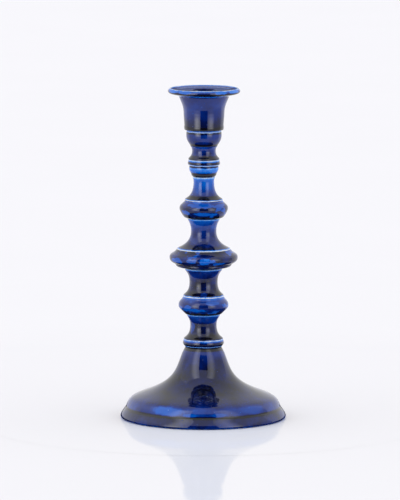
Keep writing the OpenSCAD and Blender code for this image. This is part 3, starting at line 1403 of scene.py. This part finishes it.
FOOT_SPOOL_GLAZE = Glaze(
    run=(
        (71.3, 0.05), (71.5, 0.0), (71.75, 0.0), (71.95, 0.2), (72.3, 0.8), (72.7, 1.0),
        (75.0, 1.0), (77.5, 0.88), (86.0, 0.84), (89.0, 0.66), (93.2, 0.56), (94.1, 0.14),
        (94.7, 0.1),
    ),
    seed=3.0,
    spots=(
        Spot((-10, -7, 83), 3.5, 5, 0.58), Spot((9, 9, 86), 4, 5, 0.45),
    ),
)

LOWER_KNOP_GLAZE = Glaze(
    run=(
        (94.7, 1.0), (96.3, 1.05), (97.5, 0.8), (102.0, 0.78), (106.0, 0.72), (109.5, 0.5),
        (110.2, 0.3), (110.6, 0.4),
    ),
    patches=0.8, patch_level=0.38, seed=4.0,
    spots=(
        Spot((-8, -20, 100.3), 13, 1.8, 0.42), Spot((8, -20, 106.5), 8, 1.8, 0.48),
        Spot((17, 12, 101), 9, 2.2, 0.42), Spot((-16, 14, 105), 8, 2.2, 0.46),
    ),
)

LOWER_SPOOL_GLAZE = Glaze(
    run=(
        (110.6, 0.06), (110.8, 0.0), (111.3, 0.0), (111.5, 0.12), (112.0, 0.3), (112.4, 0.98),
        (114.5, 0.98), (117.0, 0.88), (126.0, 0.88), (129.0, 0.8), (134.6, 0.74), (135.5, 0.3),
        (135.9, 0.08), (136.4, 0.1),
    ),
    seed=5.0,
    spots=(
        Spot((0.5, -16.5, 113.6), 4, 3.2, 0.45), Spot((3, 16, 116), 5, 3, 0.5),
    ),
)

MIDDLE_DISC_GLAZE = Glaze(
    run=(
        (136.4, 1.05), (138.0, 1.05), (138.7, 0.92), (139.6, 0.82), (140.4, 0.88),
    ),
    seed=6.0,
)

MIDDLE_KNOP_GLAZE = Glaze(
    run=(
        (140.4, 0.95), (141.6, 0.9), (146.0, 0.86), (149.5, 0.82), (152.0, 0.86), (153.1, 0.95),
        (153.8, 0.9),
    ),
    patches=0.8, seed=7.0,
    spots=(
        Spot((2, -31, 146.0), 9, 3.2, 0.4), Spot((3, -30.5, 147.5), 3, 1.4, 0.26),
        Spot((-25, -18, 145.6), 8, 2.3, 0.45), Spot((14, -27, 143.4), 6, 1.2, 0.46),
        Spot((27, 14, 146), 9, 2.6, 0.42), Spot((-8, 30, 145), 10, 2.8, 0.42),
    ),
)

UPPER_SPOOL_GLAZE = Glaze(
    run=(
        (153.8, 0.06), (154.0, 0.0), (154.5, 0.0), (154.7, 0.12), (155.1, 0.3), (155.5, 0.98),
        (157.0, 0.9), (159.0, 0.78), (168.0, 0.74), (172.5, 0.62), (175.0, 0.56), (180.6, 0.5),
        (181.2, 0.14), (182.0, 0.1),
    ),
    seed=8.0,
)

UPPER_KNOP_GLAZE = Glaze(
    run=(
        (182.0, 1.0), (184.2, 1.05), (185.2, 0.85), (187.0, 0.8), (189.0, 0.86), (194.0, 0.85),
        (196.8, 0.7), (197.8, 0.5), (198.5, 0.8),
    ),
    patches=0.8, patch_level=0.36, seed=9.0,
    spots=(
        Spot((-2, -19, 195.2), 15, 2.2, 0.46), Spot((1, -21, 187.6), 11, 1.7, 0.42),
        Spot((-17, -13, 188.4), 6, 2.0, 0.44), Spot((15, -13, 194.5), 6, 2, 0.5),
        Spot((8, 20, 190), 11, 2.4, 0.42), Spot((-18, 9, 193), 8, 2.2, 0.46),
    ),
)

NECK_SPOOL_GLAZE = Glaze(
    run=(
        (198.5, 0.06), (198.6, 0.0), (199.0, 0.0), (199.2, 0.12), (199.6, 0.3), (199.9, 1.0),
        (202.2, 1.02), (203.6, 0.72), (209.0, 0.58), (213.0, 0.46), (217.6, 0.4), (218.8, 0.1),
        (219.8, 0.06),
    ),
    seed=10.0,
)

LOWER_NECK_RING_GLAZE = Glaze(
    run=(
        (219.8, 0.8), (220.6, 1.02), (223.2, 1.02), (223.9, 0.6), (224.6, 0.33), (226.6, 0.3),
        (227.9, 0.12), (228.3, 0.4), (229.1, 1.02), (229.7, 1.05),
    ),
    seed=11.0,
)

UPPER_NECK_RING_GLAZE = Glaze(
    run=(
        (229.7, 0.9), (230.0, 0.5), (230.3, 0.03), (230.8, 0.05), (231.1, 0.6), (231.5, 0.96),
        (233.4, 0.93), (233.8, 0.4), (234.5, 0.2), (234.9, 0.05), (235.5, 0.03),
    ),
    seed=12.0,
)

THROAT_GLAZE = Glaze(
    run=(
        (235.5, 0.8), (236.0, 1.02), (238.6, 1.0), (240.0, 0.78), (245.0, 0.72), (247.0, 0.6),
        (247.9, 0.6),
    ),
    seed=13.0,
)

CUP_BULB_GLAZE = Glaze(
    run=(
        (247.9, 0.95), (248.8, 1.0), (249.6, 0.95), (250.6, 0.76), (258.6, 0.72), (259.8, 1.0),
        (260.5, 1.0), (260.8, 0.05), (261.6, 0.05),
    ),
    seed=14.0,
)

CANDLE_CUP_GLAZE = Glaze(
    run=(
        (261.6, 0.25), (262.0, 0.22), (262.4, 0.8), (263.0, 1.0), (265.4, 1.0), (266.4, 0.92),
        (271.0, 0.86), (277.0, 0.76), (285.0, 0.7), (291.6, 0.74), (293.6, 0.74), (294.1, 0.25),
        (294.9, 0.2), (295.3, 0.8), (295.9, 1.02), (297.2, 1.0), (297.9, 0.72), (299.1, 0.5),
        (299.5, 0.3), (299.8, 0.05), (300.0, 0.0),
    ),
    streaks=0.03, cloud=0.3, cloud_size=16,
    top_run=(
        (4.0, 0.9), (10.9, 0.9), (11.4, 0.75), (12.0, 0.62), (14.0, 0.6), (24.0, 0.62),
        (27.0, 0.7), (28.8, 0.6), (29.7, 0.12), (30.2, 0.0), (30.9, 0.0), (31.3, 0.3),
    ),
    top_from=297.6, seed=15.0,
    spots=(
        Spot((-28, -16.2, 298.5), 9, 1.6, 0.32), Spot((-17, -27, 298.4), 8, 1.3, 0.36),
        Spot((15.2, -28.5, 298.4), 8, 1.4, 0.32), Spot((27.4, -17.1, 298.5), 9, 1.6, 0.28),
        Spot((32, 6, 298.4), 9, 1.5, 0.32), Spot((-31, 10, 298.4), 9, 1.5, 0.3),
        Spot((10, 31, 298.4), 12, 1.5, 0.3), Spot((-12, 30, 298.4), 8, 1.4, 0.36),
    ),
)


@dataclass
class Stem:
    """All turned sections from the foot to the candle cup, in order."""

    sections: tuple[Section, ...] = (
        Foot(name="foot", low=0.4, tall=64.2, steps=192, glaze=FOOT_GLAZE),
        Ring(
            name="foot_ring", low=64.6, tall=6.7, start=((16.75, 0), (16.95, 0.7)),
            round_side=((17.3, 1.1), (18.2, 2.7), (19.3, 2.7), (18.1, 6.1)),
            end=((17.85, 6.7),), glaze=FOOT_RING_GLAZE,
        ),
        Spool(
            name="foot_spool", low=71.3, tall=23.4, lip=(17.75, 0.8), waist=(11.96, 13.3),
            top=15.06, down=Pull(0.84, -0.04, 0.13), up=Pull(0.61, -0.05, 0.29),
            glaze=FOOT_SPOOL_GLAZE,
        ),
        Knop(
            name="lower_knop", low=94.7, tall=15.9, low_end=(16.8, 0.3), belly=(22.66, 7.95),
            high_end=(18.9, 15.1), down=Pull(0.14, 1.08, 0.76), up=Pull(0.57, 0.34, 0.37),
            glaze=LOWER_KNOP_GLAZE,
        ),
        Spool(
            name="lower_spool", low=110.6, tall=25.8, lip=(18.45, 0.6), waist=(12.79, 13.6),
            top=17.09, down=Pull(0.83, 0.11, 0.23), up=Pull(0.69, -0.06, 0.19),
            glaze=LOWER_SPOOL_GLAZE,
        ),
        Ring(
            name="middle_disc", low=136.4, tall=4.0, start=((17.2, 0),),
            round_side=((17.6, 0.2), (21.8, 1.1), (24.1, 1.4), (24.9, 2.4)),
            end=((25.2, 2.9), (25.1, 3.7), (24.8, 4.0)), glaze=MIDDLE_DISC_GLAZE,
        ),
        Knop(
            name="middle_knop", low=140.4, tall=13.4, foot_edge=0.44, low_end=(26.2, 0.15),
            belly=(30.96, 5.9), high_end=(24.9, 12.7), crown_edge=0.74,
            down=Pull(0.83, -0.16, 0.15), up=Pull(0.59, 0.5, 0.54), glaze=MIDDLE_KNOP_GLAZE,
        ),
        Spool(
            name="upper_spool", low=153.8, tall=28.2, lip=(24.4, 0.4), waist=(11.48, 16.3),
            top=14.78, down=Pull(0.76, 0.04, 0.08), up=Pull(0.59, 0.25, 0.22),
            glaze=UPPER_SPOOL_GLAZE,
        ),
        Knop(
            name="upper_knop", low=182.0, tall=16.5, low_end=(17.4, 1.0), belly=(21.96, 9.0),
            high_end=(17.6, 15.2), down=Pull(0.3, 0.09, -0.07), up=Pull(0.45, 0.75, 0.5),
            glaze=UPPER_KNOP_GLAZE,
        ),
        Spool(
            name="neck_spool", low=198.5, tall=21.3, lip=(17.2, 0.5), waist=(9.33, 16.9),
            top=10.1, down=Pull(0.89, 0.04, 0.12), up=Pull(0.57, -0.06, 0.2),
            glaze=NECK_SPOOL_GLAZE,
        ),
        Ring(
            name="lower_neck_ring", low=219.8, tall=9.9,
            start=((10.05, 0), (10.35, 0.5), (11.15, 1.3)),
            round_side=((11.4, 2.1), (11.8, 4.6), (14.05, 5.3), (13.15, 9.6)),
            end=((12.85, 9.9),), glaze=LOWER_NECK_RING_GLAZE,
        ),
        Ring(
            name="upper_neck_ring", low=229.7, tall=5.8, start=((13.0, 0), (13.7, 0.4)),
            round_side=((13.9, 0.6), (15.3, 2.5), (14.2, 3.0), (14.0, 5.3)), end=((13.7, 5.8),),
            glaze=UPPER_NECK_RING_GLAZE,
        ),
        Spool(
            name="throat", low=235.5, tall=12.4, lip=(14.09, 0.35), waist=(10.74, 7.9),
            top=12.24, down=Pull(0.71, 0.14, 0.27), up=Pull(0.8, -0.2, 0.02),
            glaze=THROAT_GLAZE,
        ),
        Knop(
            name="cup_bulb", low=247.9, tall=13.7, foot_edge=0.28, low_end=(12.4, 0.3),
            belly=(16.07, 9.9), high_end=(15.77, 13.4), crown_edge=0.4,
            down=Pull(0.61, 0.07, 0.14), up=Pull(0.49, 0.12, 0.08), glaze=CUP_BULB_GLAZE,
        ),
        CandleCup(name="candle_cup", low=261.6, tall=38.4, steps=168, glaze=CANDLE_CUP_GLAZE),
    )

    def build(self) -> None:
        """Builds each section, from the floor upwards."""
        for section in self.sections:
            section.build()


# The studio


@dataclass(frozen=True)
class Panel:
    """A curved upright panel that only shows in reflections.

    Its radius and heights are in metres, its edges in degrees from the front to the right.
    """

    name: str
    radius: float
    start: float
    end: float
    low: float
    high: float

    def build(self, light: bpy.types.Material) -> None:
        """Bends the panel round the axis and lights it.

        Args:
            light: The panel's own light.
        """
        steps = 24
        sweep_by = (self.end - self.start) / steps
        angles = [math.radians(self.start + sweep_by * i) for i in range(steps + 1)]
        rim = [(self.radius * math.sin(a), -self.radius * math.cos(a)) for a in angles]
        panel = Bench.open_point(self.name)
        bpy.ops.transform.translate(value=(*rim[0], self.low))
        up = (0, 0, self.high - self.low)
        bpy.ops.mesh.extrude_vertices_move(TRANSFORM_OT_translate={"value": up})
        bpy.ops.mesh.select_all(action="SELECT")
        for before, after in zip(rim, rim[1:]):
            move = (after[0] - before[0], after[1] - before[1], 0)
            bpy.ops.mesh.extrude_edges_move(TRANSFORM_OT_translate={"value": move})
        bpy.ops.object.mode_set(mode="OBJECT")
        mirrored_only(panel, light)


def mirrored_only(sheet: bpy.types.Object, light: bpy.types.Material) -> None:
    """Gives a sheet its light and hides it from all but reflections."""
    sheet.data.materials.append(light)
    for ray in ("camera", "diffuse", "shadow", "transmission"):
        setattr(sheet, f"visible_{ray}", False)


@dataclass
class Studio:
    """A pale glossy table, a soft white tent, two tall soft boxes and the camera."""

    table: float = 0.62
    mat: float = 0.21
    middle_height: float = -0.0002
    mat_height: float = -0.00025
    table_height: float = -0.0003
    floor_height: float = -0.0006
    floor_radius: float = 30
    box_radius: float = 1.3
    box_edges: tuple[float, float] = (21, 112)
    box_heights: tuple[float, float] = (-0.5, 2.5)
    side_light: float = 0.3
    front_shade: float = 0.6
    tent: Colour = (0.972, 0.970, 0.986)
    dark_card: Panel = Panel("dark_card", 1.5, -22, 22, -1.0, 1.26)
    pan_flag: Panel = Panel("pan_flag", 0.25, 166, 194, 0.302, 0.40)
    distance: float = 5.1
    eye: float = 0.826
    down: float = 7.52
    aside: float = 0.037
    roll: float = 0.15
    lens: float = 409.2

    def build(self) -> None:
        """Builds the tent, the table, what the glaze mirrors, and the camera."""
        self.light_tent()
        self.floor()
        self.soft_box(Side.LEFT, near=5.0, far=1.3)
        self.soft_box(Side.RIGHT, near=3.7, far=0.95)
        self.dark_card.build(Board("dark_card_cloth").shine(0.02))
        mat = self._disc("dark_mat", self.mat, self.mat_height)
        mirrored_only(mat, Board("dark_mat_cloth").shine(0.03))
        self.pan_flag.build(Board("pan_flag_grey").shine(0.2))
        self.camera()
        bpy.context.scene.view_settings.view_transform = "Standard"
        log.info("studio ready")

    def light_tent(self) -> None:
        """Lights everything evenly from a white tent."""
        world = bpy.data.worlds.new("white_tent")
        bpy.context.scene.world = world
        world.use_nodes = True
        sky = Sky(world)
        x, y, _ = sky.split(sky.add("ShaderNodeTexCoord", output="Generated"))
        aside = abs(x).rise(0.35, 0.85) * self.side_light
        ahead = (y * -1).rise(0.72, 0.95) * self.front_shade
        light = sky.tree.nodes["Background"]
        light.inputs["Color"].default_value = (*self.tent, 1)
        sky.tree.links.new((1 + aside - ahead).socket, light.inputs["Strength"])

    @staticmethod
    def _disc(name: str, radius: float, height: float) -> bpy.types.Object:
        """Lays a flat round sheet.

        Args:
            name: Its name.
            radius: Its radius in metres.
            height: Its height.

        Returns:
            The sheet.
        """
        Bench.clear()
        bpy.ops.mesh.primitive_circle_add(
            vertices=128, radius=radius, fill_type="NGON", location=(0, 0, height)
        )
        disc = bpy.context.object
        disc.name = disc.data.name = name
        return disc

    def floor(self) -> None:
        """Makes the glossy round table and the plain floor behind it."""
        middle = self._disc("table_middle", self.mat + 0.002, self.middle_height)
        middle.visible_glossy = False
        top = self._disc("table_top", self.table, self.table_height)
        around = self._disc("pale_floor", self.floor_radius, self.floor_height)
        around.visible_glossy = False
        board = Board("pale_floor")
        place = board.place()
        tone = board.noise(place, 240)
        pale = board.feed(
            Base_Color=board.blend(tone, (0.905, 0.902, 0.926, 1), (0.92, 0.917, 0.941, 1)),
            Roughness=0.6,
            Specular_IOR_Level=0.0,
        )
        under = board.blend(tone, (0.719, 0.741, 0.808, 1), (0.733, 0.755, 0.822, 1))
        diffuse = board.add("ShaderNodeBsdfDiffuse", inputs={"Color": under})
        gloss = board.add(
            "ShaderNodeBsdfAnisotropic",
            inputs={"Color": (0.19, 0.163, 0.118, 1), "Roughness": 0.05},
        )
        lacquer = board.add("ShaderNodeAddShader", inputs={0: diffuse, 1: gloss})
        slant = board.add("ShaderNodeLayerWeight", output="Facing").rise(0.45, 0.8)
        inside = 1 - board.from_axis(place)[0].rise(440, 600)
        plain_shader = Wire(board, board.shader.outputs[0])
        mix = {0: slant * inside, 1: plain_shader, 2: lacquer}
        board.show(board.add("ShaderNodeMixShader", inputs=mix))
        for part in (middle, top, around):
            part.data.materials.append(pale)

    def soft_box(self, side: Side, near: float, far: float) -> None:
        """Makes one tall soft box, brightest near its inner edge and fading outwards.

        Args:
            side: Which side it stands on.
            near: Brightness where its lamp shines through.
            far: Brightness at its outer edge.
        """
        name = f"soft_box_{side.name.lower()}"
        board = Board(f"{name}_light")
        _, y, z = board.split(board.place())
        forward = y * MM / -self.box_radius
        spread = forward.rise(0.44, 0.745) * (1 - 0.6 * forward.rise(0.78, 0.93))
        upwards = z.rise(350, 800)
        broad = far * (0.78 + 0.3 * upwards)
        beam = (near - far) * (0.12 + 0.88 * z.rise(-60, 190)) * (1 - 0.5 * upwards)
        first, last = (edge * side.value for edge in self.box_edges)
        panel = Panel(name, self.box_radius, first, last, *self.box_heights)
        panel.build(board.shine(broad + spread * beam))

    def camera(self) -> None:
        """Sets up the camera in front, a little above the candlestick."""
        data = bpy.data.cameras.new("camera")
        data.lens = self.lens
        data.sensor_width = 36
        data.clip_start, data.clip_end = 0.1, 100
        eye = bpy.data.objects.new("camera", data)
        bpy.context.scene.collection.objects.link(eye)
        eye.matrix_world = (
            Matrix.Translation((0, -self.distance, self.eye))
            @ Matrix.Rotation(math.radians(self.aside), 4, "Z")
            @ Matrix.Rotation(math.radians(90 - self.down), 4, "X")
            @ Matrix.Rotation(math.radians(self.roll), 4, "Z")
        )
        bpy.context.scene.camera = eye


def main() -> None:
    """Builds the candlestick and its studio."""
    logging.basicConfig(level=logging.INFO, format="%(message)s")
    Stem().build()
    Fixings().build()
    Studio().build()


if __name__ == "__main__":
    main()
